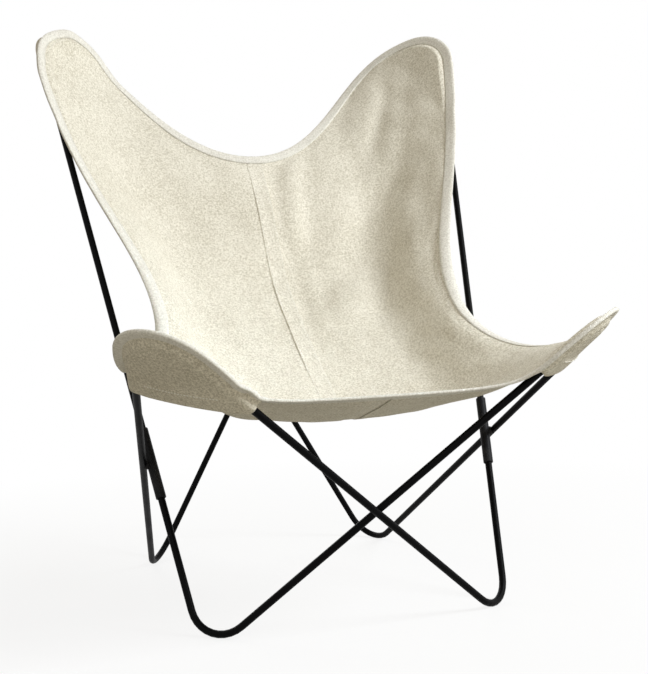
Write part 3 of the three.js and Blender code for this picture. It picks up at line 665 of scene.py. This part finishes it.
def add_ridge(side, half):
    """The loose ear's edge, filled by the prong, and the hollow inside it."""
    ear = EARS[side]["back"]
    if not ear["loose"]:
        return
    places = half["places"]
    inside, _ = line_reach(places, places[: half["count"]])
    below, over, _ = ear_offsets(ear, places)
    angle = np.arctan2(over, -below)
    round_ear = rise(angle, *RIDGE_RISE) * fade(angle, *RIDGE_FADE)
    near = fade(np.linalg.norm(places - ear["centre"], axis=1), *RIDGE_NEAR_FADE)
    shape = sum(height * bell(inside - middle, width) for height, middle, width in RIDGE_SHAPE)
    move = near * round_ear * shape
    half["places"] = places + normals_of(places, half["faces"]) * move[:, None]


def keep_off_rods(side, half):
    """Lifts cloth that a fold or a hollow has brought too near to a prong."""
    places = half["places"]
    for ear in EARS[side].values():
        below, _, height = ear_offsets(ear, places)
        outside = np.abs(nearest_rod(ear, places)[2])
        beside = fade(outside, *CLEAR_BESIDE) * fade(below, ear["mouth"], CLEAR_BELOW)

        def round_rod(radius):
            return np.sqrt(np.maximum(radius**2 - outside**2, 0))

        around = ROD_TO_CLOTH * beside if ear["loose"] else round_rod(CLOTH_ROUND_ROD)
        over_ear = height > CLEAR_UNDER
        short = np.maximum(around - height, 0) * (beside > 0) * (around > 0) * over_ear
        under_tape = (outside < TAPE_ROUND_ROD) * (below < ear["mouth"] + TAPE_BELOW_MOUTH) * over_ear
        tape_short = np.maximum(TAPE_OVER_ROD + round_rod(TAPE_ROUND_ROD) - height, 0) * under_tape
        lift = np.where(half["ring_of"] > TAPE_RING, short, tape_short * ear["loose"])
        places = places + ear["face"] * lift[:, None]
    half["places"] = places


HALVES = {}
for half_side in (-1, 1):
    HALVES[half_side] = sling_half(half_side)
    add_ridge(half_side, HALVES[half_side])
    add_folds(half_side, HALVES[half_side])

# Materials

WHITE = (1.0, 1.0, 1.0, 1.0)
WAVE_TEXTURE_LENGTH = 0.3142


class Nodes:
    """The nodes of a material or a world, made one call at a time."""

    def __init__(self, owner):
        owner.use_nodes = True
        self.owner = owner
        self.tree = owner.node_tree
        self.shader = self.tree.nodes.get("Principled BSDF")

    def add(self, kind, inputs=(), **settings):
        node = self.tree.nodes.new(kind)
        for key, value in settings.items():
            setattr(node, key, value)
        self.fill(node, dict(inputs))
        return node

    def fill(self, node, inputs):
        for key, value in inputs.items():
            if isinstance(value, bpy.types.NodeSocket):
                self.tree.links.new(value, node.inputs[key])
            else:
                node.inputs[key].default_value = value

    def maths(self, operation, a, b=0.0, clamp=False):
        node = self.add("ShaderNodeMath", {0: a, 1: b}, operation=operation, use_clamp=clamp)
        return node.outputs[0]

    def total(self, start, *weighed):
        """A start value, and inputs that each count with a weight."""
        for value, weight in weighed:
            start = self.maths("ADD", start, self.maths("MULTIPLY", value, weight))
        return start

    def ramp(self, value, low, high):
        return self.add("ShaderNodeMapRange", {0: value, 1: low, 2: high}).outputs[0]

    def noise(self, vector, scale, detail=3.0, roughness=0.5):
        inputs = {"Vector": vector, "Scale": scale, "Detail": detail, "Roughness": roughness}
        return self.add("ShaderNodeTexNoise", inputs).outputs["Fac"]

    def mix(self, share, a, b):
        node = self.add("ShaderNodeMix", {0: share, 6: (*a, 1.0), 7: (*b, 1.0)}, data_type="RGBA")
        return node.outputs[2]

    def bump(self, strength, distance, height):
        inputs = {"Strength": strength, "Distance": distance, "Height": height}
        return self.add("ShaderNodeBump", inputs).outputs[0]

    def show(self, seen, lit, output):
        """The camera, reflections and glass see one shader, and other light meets the second."""
        ray = self.add("ShaderNodeLightPath").outputs
        straight = self.maths("ADD", ray["Is Camera Ray"], ray["Is Glossy Ray"])
        straight = self.maths("ADD", straight, ray["Is Transmission Ray"], clamp=True)
        chosen = self.add("ShaderNodeMixShader", {0: straight, 1: lit.outputs[0], 2: seen.outputs[0]})
        self.fill(output, {"Surface": chosen.outputs[0]})


def cloth_material(name, pale, tan, thread_pitch=0.0011, depth=0.0005, sheen=0.1):
    """Plain weave with slubs, blotches and specks. Its tones lie between pale and tan."""
    n = Nodes(bpy.data.materials.new(name))
    coordinates = n.add("ShaderNodeTexCoord").outputs
    flat = coordinates["UV"]
    place = coordinates["Object"]
    wander = n.noise(flat, 90.0, 2.0)
    shift = n.add("ShaderNodeVectorMath", {0: (0.0006, 0.0006, 0.0), 3: wander}, operation="SCALE")
    bent = n.add("ShaderNodeVectorMath", {0: flat, 1: shift.outputs[0]}, operation="ADD").outputs[0]
    bands = {"Vector": bent, "Scale": WAVE_TEXTURE_LENGTH / thread_pitch}
    threads = [n.add("ShaderNodeTexWave", bands, bands_direction=way).outputs["Fac"] for way in "XY"]
    weave = n.maths("MULTIPLY", *threads)
    stretched = [
        n.add("ShaderNodeMapping", {"Vector": flat, "Scale": scale}).outputs[0]
        for scale in ((700.0, 26.0, 1.0), (26.0, 700.0, 1.0))
    ]
    slubs = n.maths("ADD", *(n.noise(vector, 1.0, 2.0) for vector in stretched))
    blotch = n.noise(place, 6.5, 4.0, 0.6)
    speck = n.noise(place, 360.0, 3.0, 0.75)
    tone = n.total(
        -0.14,
        (n.ramp(blotch, 0.3, 0.7), 0.25),
        (n.ramp(speck, 0.4, 0.6), 0.85),
        (n.ramp(slubs, 0.75, 1.25), 0.3),
    )
    height = n.total(0.0, (weave, 0.5), (slubs, 0.35), (n.noise(place, 70.0, 3.0), 1.1), (speck, 1.1))
    n.fill(n.shader, {
        "Base Color": n.mix(tone, tan, pale),
        "Roughness": n.total(0.82, (weave, 0.12)),
        "Sheen Weight": sheen,
        "Sheen Roughness": 0.5,
        "Specular IOR Level": 0.1,
        "Normal": n.bump(0.7, depth, height),
    })
    return n.owner


def coat_material(name, colour, roughness, grain, wear):
    """Black powder coat: fine orange peel, a little dust and rubbed places."""
    n = Nodes(bpy.data.materials.new(name))
    place = n.add("ShaderNodeTexCoord").outputs["Object"]
    peel = n.noise(place, grain, 3.0, 0.6)
    dust = n.ramp(n.noise(place, 22.0, 5.0, 0.65), 0.45, 0.75)
    rubbed = n.ramp(n.noise(place, 160.0, 4.0, 0.7), 0.6, 0.8)
    dusty = tuple(channel + 0.035 for channel in colour)
    n.fill(n.shader, {
        "Base Color": n.mix(n.maths("MULTIPLY", dust, wear), colour, dusty),
        "Roughness": n.total(roughness, (dust, 0.12), (rubbed, -0.06)),
        "Specular IOR Level": 0.05,
        "Normal": n.bump(0.35, 0.0002, peel),
    })
    return n.owner


CANVAS_LOOK = cloth_material("canvas", (0.93, 0.890, 0.785), (0.56, 0.515, 0.405))
STRIP_LOOK = cloth_material("seam_strip", (0.94, 0.903, 0.803), (0.59, 0.546, 0.442), depth=0.0004)
BINDING_LOOK = cloth_material("binding", (0.90, 0.878, 0.81), (0.66, 0.633, 0.565), 0.0009, 0.0003)
POCKET_LOOK = cloth_material("pocket", (0.86, 0.81, 0.68), (0.47, 0.425, 0.325), sheen=0.15)
THREAD_LOOK = cloth_material("thread", (0.96, 0.94, 0.88), (0.88, 0.86, 0.79), 0.0004, 0.0001)
COAT_LOOKS = {
    "rod_loop": coat_material("rod_coat", (0.0015, 0.0015, 0.0017), 0.42, 900.0, 0.05),
    "sleeve": coat_material("sleeve_coat", (0.015, 0.015, 0.017), 0.42, 800.0, 0.7),
    "weld": coat_material("weld_coat", (0.02, 0.02, 0.022), 0.55, 300.0, 0.9),
}

for name, look in COAT_LOOKS.items():
    for end in ("left", "right"):
        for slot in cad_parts[f"{name}_{end}"].material_slots:
            slot.material = look

# The canvas

SIDE_NAMES = {-1: "left", 1: "right"}


def add_piece(name, places, faces, material, cloth):
    """A mesh from places in millimetres. cloth gives each place its spot on the flat cloth."""
    mesh = bpy.data.meshes.new(name)
    mesh.from_pydata((places / 1000).tolist(), [], [[int(i) for i in face] for face in faces])
    mesh.materials.append(material)
    layer = mesh.uv_layers.new(name="cloth")
    corner = np.empty(len(mesh.loops), int)
    mesh.loops.foreach_get("vertex_index", corner)
    layer.data.foreach_set("uv", (cloth[corner] / 1000).ravel())
    mesh.polygons.foreach_set("use_smooth", [True] * len(mesh.polygons))
    mesh.update()
    piece = bpy.data.objects.new(name, mesh)
    bpy.context.scene.collection.objects.link(piece)
    return piece


def give_thickness(piece, thickness):
    solid = piece.modifiers.new("thickness", "SOLIDIFY")
    solid.thickness = thickness / 1000
    solid.offset = 0.0
    rounding = piece.modifiers.new("rounding", "SUBSURF")
    rounding.levels = 1
    rounding.render_levels = 1


for half_side, half in HALVES.items():
    side_name = SIDE_NAMES[half_side]
    panel = add_piece(f"canvas_{side_name}", half["places"], half["faces"], CANVAS_LOOK, half["cloth"])
    give_thickness(panel, CANVAS)
    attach(panel, "root")
    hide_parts(f"sling_panel_{side_name}")

# The seam strip, which is narrower at its ends, where it goes under the tape

STRIP_HALF = np.array([0.0, 3.5, 7.0, 9.6, 11.0, 12.4, 13.0])
STRIP_ACROSS = np.concatenate([-STRIP_HALF[:0:-1], STRIP_HALF])
CROWN_HALF = np.array([0.7, 0.8, 1.0, 1.2, 1.1, 1.2, 1.1])
STRIP_CROWN = np.concatenate([CROWN_HALF[:0:-1], CROWN_HALF])
STRIP_THICKNESS = 0.7
STRIP_END_RISE = (15.0, 8.0)
STRIP_END_WIDTH = 0.67
STRIP_PUCKER_HEIGHT = 0.35


def seam_rows():
    """The right half's places beside the seam, from the top to the front."""
    half = HALVES[1]
    starts = [ring * half["count"] for ring in range(half["rings"])]
    ends = [start + half["count"] - 1 for start in reversed(starts)]
    return starts + half["numbers"][1:-1, 0].tolist() + ends


def seam_strip():
    line = HALVES[1]["places"][seam_rows()]
    reach = reach_along(line)
    ahead = np.gradient(line, axis=0)
    normals = unit(np.stack([np.zeros(len(ahead)), ahead[:, 2], -ahead[:, 1]], -1))
    inside = rise(reach, *STRIP_END_RISE) * rise(reach[-1] - reach, *STRIP_END_RISE)
    x = np.outer(STRIP_END_WIDTH + (1 - STRIP_END_WIDTH) * inside, STRIP_ACROSS)
    pucker = STRIP_PUCKER_HEIGHT * pucker_wave(reach, STRIP_PUCKER)[:, None]
    lift = (STRIP_CROWN + pucker * (1 - np.abs(x) / STRIP_ACROSS[-1])) * inside[:, None]
    places = np.repeat(line[:, None], len(STRIP_ACROSS), axis=1)
    places[..., 0] = MIDDLE_X + x
    places += normals[:, None] * lift[..., None]
    cloth = np.stack([x, np.broadcast_to(reach[:, None], x.shape)], -1)
    faces = grid_faces(np.arange(x.size).reshape(x.shape))
    strip = add_piece("seam_strip", places.reshape(-1, 3), faces, STRIP_LOOK, cloth.reshape(-1, 2))
    give_thickness(strip, STRIP_THICKNESS)
    return strip, line, normals


strip, seam_line, seam_normals = seam_strip()
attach(strip, "root")
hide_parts("centre_seam")

# The edge tape, folded round the rim

TIPS = {"back": TOP_CELLS, "front": TOP_CELLS + SIDE_CELLS}
TAPE_SLOT = CANVAS / 2 + SLOT_CLEARANCE
TAPE_FRONT = TAPE_SLOT + BINDING_THICKNESS
CROSSING_MOUTH = 70.0
CROSSING_CLEAR = 14.5

# The tape's faces from its inner edge to the rim: ring, how far they lie below the top, and the
# share of the wave on the front and on the back
TAPE_FACES = [(4, 0.35, 0.0, 0.0), (3, 0.25, 0.3, 0.0), (2, 0.0, 1.0, 1.0), (1, 0.0, 1.0, 1.0)]

# Its fold: share of the way out, and share of the way from the middle to a face
TAPE_FOLD = [(0.2, 1.0), (0.85, 0.6), (1.0, 0.0)]

# How far each point of the section lies from the fold on the flat tape
TAPE_FLAT = [12.0, 9.0, 6.0, 3.0] + [0.0] * 5 + [3.0, 6.0, 9.0] + [12.0] * 5

# Waves of the tape: height and length for each turn of one radian
TAPE_WAVES = [(0.1, 3.1), (0.12, 7.3)]


def pocket_reach(side, which, direction):
    """Stations from the ear's tip to the pocket's mouth. The front left one reaches on under the hem."""
    ear = EARS[side][which]
    crossing = which == "front" and direction > 0 and side < 0
    mouth = CROSSING_MOUTH if crossing else ear["mouth"]
    clear = CROSSING_CLEAR if crossing else RIM_CLEAR
    steps = 0
    while True:
        rim = HALVES[side]["rim"][TIPS[which] + direction * (steps + 1)]
        if ear_offsets(ear, rim)[0] > mouth or nearest_rod(ear, rim)[2] < clear:
            return steps
        steps += 1


def tape_section(near, normals, inward, behind, wave):
    """The tape's outline at one station. behind is the depth of its slot behind the canvas's middle."""
    back = -behind - BINDING_THICKNESS
    middle = (TAPE_FRONT + back) / 2
    outer = LAYER_GAP + BINDING_THICKNESS

    def at_face(ring, height):
        return near[ring] + normals[ring] * height

    def at_fold(out, share, face):
        return near[0] - inward * (outer * out) + normals[0] * (face * share + middle * (1 - share))

    section = [at_face(ring, TAPE_FRONT - low + wave * share) for ring, low, share, _ in TAPE_FACES]
    section += [at_fold(out, share, TAPE_FRONT) for out, share in TAPE_FOLD]
    section += [at_fold(out, share, back) for out, share in TAPE_FOLD[-2::-1]]
    section += [at_face(ring, back + low - wave * share) for ring, low, _, share in TAPE_FACES[::-1]]
    return section + [
        at_face(TAPE_RING, -behind),
        at_face(0, -behind) - inward * LAYER_GAP,
        at_face(0, TAPE_SLOT) - inward * LAYER_GAP,
        at_face(TAPE_RING, TAPE_SLOT),
    ]


def edge_tape():
    """The binding: a folded tape with a rounded edge, which holds the canvas and the pocket's lip."""
    rims = [in_rings(HALVES[side], "places")[0][::side] for side in (1, -1)]
    walked = reach_along(np.concatenate(rims))
    sections = []
    for side in (1, -1):
        half = HALVES[side]
        places = in_rings(half, "places")
        normals = in_rings(half, "normals")
        spans = [
            (tip - pocket_reach(side, which, -1), tip + pocket_reach(side, which, 1))
            for which, tip in TIPS.items()
        ]
        for index in range(half["count"])[::side]:
            holds_pocket = any(first <= index <= last for first, last in spans)
            behind = TAPE_SLOT + (CANVAS + LAYER_GAP if holds_pocket else 0.0)
            reach = walked[len(sections)]
            wave = sum(height * math.sin(reach / length) for height, length in TAPE_WAVES)
            inward = half["inward"][index]
            sections.append(tape_section(places[:, index], normals[:, index], inward, behind, wave))
    numbers = np.arange(len(sections) * len(TAPE_FLAT)).reshape(len(sections), -1)
    closed = np.pad(numbers, (0, 1), mode="wrap")
    cloth = np.array([[flat, reach] for reach in walked for flat in TAPE_FLAT])
    places = np.array(sections).reshape(-1, 3)
    return add_piece("edge_tape", places, grid_faces(closed.T), BINDING_LOOK, cloth)


tape = edge_tape()
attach(tape, "root")
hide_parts("edge_binding")

# The pockets' second layers

ROD_TO_POCKET = 7.6
POCKET_COLUMNS = 12
POCKET_SAG = 3.0
SLACK_DROP = 0.6
HEM_RISE = 1.4
HEM_ROWS = 4
HEM_TURN = 0.6
HEM_THREAD_BELOW = 2.0
HEM_THREAD_OUT = 0.9

# Where the layer starts under the canvas, as ring and distance inwards, by a rim near the rod and
# by one clear of it
NEAR_LIP = [(0, 0.0), (0, 0.3), (0, 0.6)]
CLEAR_LIP = [(0, 0.0), (2, 0.0), (2, 1.6)]

# How it turns round the rod, as distance outside the rod's middle and height over it
NEAR_TURN = (7.9, 4.4)
POCKET_WRAP = (8.8, -2.4)
LOOSE_POCKET_WRAP = (7.2, -2.4)
UNDER_ROD = [(4.6, -6.6), (0.0, -ROD_TO_POCKET), (-5.0, -ROD_TO_POCKET + 0.4)]


def pocket_edge(side, which, index):
    """The layer at one station of the rim: from the tape's lip, round the rod and to its underside."""
    half = HALVES[side]
    ear = EARS[side][which]
    middle, outward, outside = nearest_rod(ear, half["rim"][index])
    near_rod = outside < RIM_CLEAR
    places = in_rings(half, "places")[:, index]
    normals = in_rings(half, "normals")[:, index]
    edge = [
        places[ring] + half["inward"][index] * reach - normals[ring] * (CANVAS + LAYER_GAP)
        for ring, reach in (NEAR_LIP if near_rod else CLEAR_LIP)
    ]

    def round_rod(spot):
        return middle + outward * spot[0] + ear["face"] * spot[1]

    wrap = round_rod(LOOSE_POCKET_WRAP if ear["loose"] else POCKET_WRAP)
    slack = edge[-1] * 0.5 + wrap * 0.5 - ear["face"] * SLACK_DROP
    turn = round_rod(NEAR_TURN) if near_rod else slack
    return edge + [turn, wrap] + [round_rod(spot) for spot in UNDER_ROD]


def pocket_layer(side, which):
    """The layer behind one ear, and the line of its hem for the thread."""
    ear = EARS[side][which]
    before = pocket_reach(side, which, -1)
    after = pocket_reach(side, which, 1)
    edges = [pocket_edge(side, which, TIPS[which] + step) for step in range(-before, after + 1)]
    layer = [place for edge in edges for place in edge]
    numbers = np.arange(len(layer)).reshape(len(edges), -1)
    faces = grid_faces(numbers.T).tolist()
    inner = numbers[:, -1].tolist()

    def add(place):
        layer.append(place)
        return len(layer) - 1

    rows = max(before, after)
    previous = [inner[before]] * (POCKET_COLUMNS + 1)
    for step in range(1, rows + 1):
        start = inner[before - round(step * before / rows)]
        end = inner[before + round(step * after / rows)]
        hem_rise = HEM_RISE if step > rows - HEM_ROWS else 0.0
        row = [start]
        for share in np.arange(1, POCKET_COLUMNS) / POCKET_COLUMNS:
            sag = math.sin(math.pi * share) * min(1.0, step / rows * 2) * POCKET_SAG
            row.append(add(lerp(layer[start], layer[end], share) - ear["face"] * (sag + hem_rise)))
        row.append(end)
        faces += grid_faces(np.array([previous, row])).tolist()
        previous = row
        if step == rows - HEM_ROWS:
            # The mouth is hemmed: from here the layer stands out by the turned edge's thickness
            turn = -ear["tip"] * HEM_TURN - ear["face"] * HEM_RISE
            ledge = [start] + [add(layer[n] + turn) for n in row[1:-1]] + [end]
            faces += grid_faces(np.array([row, ledge])).tolist()
            previous = ledge
    faces = [[n for k, n in enumerate(face) if n != face[k - 1]] for face in faces]
    faces = [face[::side] for face in faces if len(face) > 2]
    places = np.array(layer)
    below, over, _ = ear_offsets(ear, places)
    name = f"pocket_layer_{which}_{SIDE_NAMES[side]}"
    piece = add_piece(name, places, faces, POCKET_LOOK, np.stack([over, -below], -1))
    give_thickness(piece, CANVAS)
    hem = places[ledge[1:-1]] - ear["tip"] * HEM_THREAD_BELOW - ear["face"] * HEM_THREAD_OUT
    return piece, hem


pockets = {}
for half_side in (-1, 1):
    for which in ("back", "front"):
        piece, hem = pocket_layer(half_side, which)
        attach(piece, "root")
        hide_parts(f"pocket_{which}_{SIDE_NAMES[half_side]}")
        pockets[half_side, which] = (piece, hem)

# Stitching

STITCH_PITCH = 4.2
STITCH_SIDES = 6
STITCH_SHOULDERS = (0.3, 0.7)
STITCH_END_SINK = 0.3
STITCH_FLATNESS = 0.8

# Length and radius of a stitch on the tape's front and the seam, on the tape's back and on a hem
FRONT_STITCH = (3.0, 0.42)
BACK_STITCH = (3.4, 0.6)
HEM_STITCH = (3.6, 0.75)

# Where the threads lie: share of the tape's width, height over the canvas, and places on the strip
TAPE_THREAD_SHARE = 0.86
TAPE_THREAD_OVER = TAPE_FRONT - 0.05
STRIP_THREAD_OFFSET = 11.0
STRIP_THREAD_OVER = 1.5
STRIP_THREAD_ROWS = slice(8, -8)


def add_stitches(places, faces, line, normals, length, radius):
    """Thread seen as a row of short rounded dashes lying on the cloth."""
    reach = reach_along(line)
    centres = np.arange(STITCH_PITCH / 2, reach[-1], STITCH_PITCH)
    starts = read_at(centres - length / 2, reach, line)
    ends = read_at(centres + length / 2, reach, line)
    ahead = unit(ends - starts)
    ups = unit(read_at(centres, reach, normals))
    besides = unit(np.cross(ups, ahead))
    for start, end, up, beside in zip(starts, ends, ups, besides):
        base = len(places)
        places.append(start - up * radius * STITCH_END_SINK)
        for share in STITCH_SHOULDERS:
            for turn in range(STITCH_SIDES):
                angle = 2 * math.pi * turn / STITCH_SIDES
                rim = math.cos(angle) * beside + math.sin(angle) * STITCH_FLATNESS * up
                places.append(lerp(start, end, share) + radius * rim)
        places.append(end - up * radius * STITCH_END_SINK)
        for turn in range(STITCH_SIDES):
            a = base + 1 + turn
            b = base + 1 + (turn + 1) % STITCH_SIDES
            c = b + STITCH_SIDES
            d = a + STITCH_SIDES
            faces += [[base, b, a], [a, b, c, d], [base + 1 + 2 * STITCH_SIDES, d, c]]


def stitching(name, runs):
    places = []
    faces = []
    for line, normals, stitch in runs:
        add_stitches(places, faces, line, normals, *stitch)
    places = np.array(places)
    piece = add_piece(name, places, faces, THREAD_LOOK, places[:, :2])
    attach(piece, "root")
    return piece


def tape_line(side, over):
    """The stitched line on the tape, at a height over the canvas's middle, or behind it if below 0."""
    ring = TAPE_THREAD_SHARE * TAPE_RING
    low = int(math.floor(ring))
    places = in_rings(HALVES[side], "places")
    normals = in_rings(HALVES[side], "normals")[low]
    return places[low] + (places[low + 1] - places[low]) * (ring - low) + normals * over, normals


runs = []
for half_side in (-1, 1):
    for face, stitch in ((1, FRONT_STITCH), (-1, BACK_STITCH)):
        line, normals = tape_line(half_side, face * TAPE_THREAD_OVER)
        runs.append((line, face * normals, stitch))
binding_thread = stitching("binding_thread", runs)

runs = []
for offset in (-STRIP_THREAD_OFFSET, STRIP_THREAD_OFFSET):
    line = seam_line[STRIP_THREAD_ROWS].copy()
    line[:, 0] = MIDDLE_X + offset
    normals = seam_normals[STRIP_THREAD_ROWS]
    runs.append((line + normals * STRIP_THREAD_OVER, normals, FRONT_STITCH))
seam_thread = stitching("seam_thread", runs)

runs = []
for (half_side, which), (piece, hem) in pockets.items():
    away = np.tile(-EARS[half_side][which]["face"], (len(hem), 1))
    runs.append((hem, away, HEM_STITCH))
pocket_thread = stitching("pocket_thread", runs)

# The floor: dull to other light, and to the camera white with a faint shadow near the chair

FLOOR_SIZE = 40.0
FLOOR_DULL = (0.385, 0.364, 0.312, 1.0)
FLOOR_SHADED = (0.85, 0.85, 0.85, 1.0)
FLOOR_WHITE_SHARE = 0.84
FLOOR_WHITE_REACH = (0.45, 1.3)


def floor_material():
    n = Nodes(bpy.data.materials.new("floor"))
    n.fill(n.shader, {"Base Color": FLOOR_DULL, "Roughness": 0.9})
    white = n.add("ShaderNodeEmission", {"Color": WHITE, "Strength": 1.0})
    shaded = n.add("ShaderNodeBsdfDiffuse", {"Color": FLOOR_SHADED})
    place = n.add("ShaderNodeTexCoord").outputs["Object"]
    reach = n.add("ShaderNodeVectorMath", {0: place}, operation="LENGTH").outputs["Value"]
    share = n.total(FLOOR_WHITE_SHARE, (n.ramp(reach, *FLOOR_WHITE_REACH), 1 - FLOOR_WHITE_SHARE))
    shown = n.add("ShaderNodeMixShader", {0: share, 1: shaded.outputs[0], 2: white.outputs[0]})
    n.show(shown, n.shader, n.tree.nodes["Material Output"])
    return n.owner


bpy.ops.mesh.primitive_plane_add(size=FLOOR_SIZE, location=(0.0, 0.0, 0.0))
floor = bpy.context.object
floor.name = "floor"
floor.data.materials.append(floor_material())

# Lights and world


def area_light(name, place, size, power, colour, target=(0.0, 0.0, 0.5), spread=180.0):
    data = bpy.data.lights.new(name, "AREA")
    data.shape = "DISK"
    data.size = size
    data.energy = power
    data.color = colour
    data.spread = math.radians(spread)
    light = bpy.data.objects.new(name, data)
    bpy.context.scene.collection.objects.link(light)
    light.location = place
    aim = Vector(target) - Vector(place)
    light.rotation_euler = aim.to_track_quat("-Z", "Y").to_euler()


area_light("key", place=(2.3, -1.5, 2.2), size=1.2, power=101.0, colour=(0.92, 0.962, 1.0))
area_light("seat", place=(1.1, -0.75, 1.5), size=0.3, power=0.17, colour=(0.72, 0.88, 1.0),
           target=(-0.19, -0.12, 0.38), spread=22.0)
area_light("fill", place=(-1.2, -2.8, 1.9), size=2.0, power=15.0, colour=(1.0, 0.995, 0.98))
area_light("back", place=(-0.9, 2.9, 1.9), size=2.0, power=34.0, colour=(1.0, 1.0, 1.0),
           target=(0.0, 0.0, 0.6))

bpy.context.scene.world = bpy.data.worlds.new("studio")
studio = Nodes(bpy.context.scene.world)
studio.tree.nodes.clear()
studio_soft = studio.add("ShaderNodeBackground", {"Color": (1.0, 0.91, 0.74, 1.0), "Strength": 0.33})
studio_white = studio.add("ShaderNodeBackground", {"Color": WHITE, "Strength": 1.0})
studio.show(studio_white, studio_soft, studio.add("ShaderNodeOutputWorld"))
bpy.context.scene.view_settings.view_transform = "Standard"
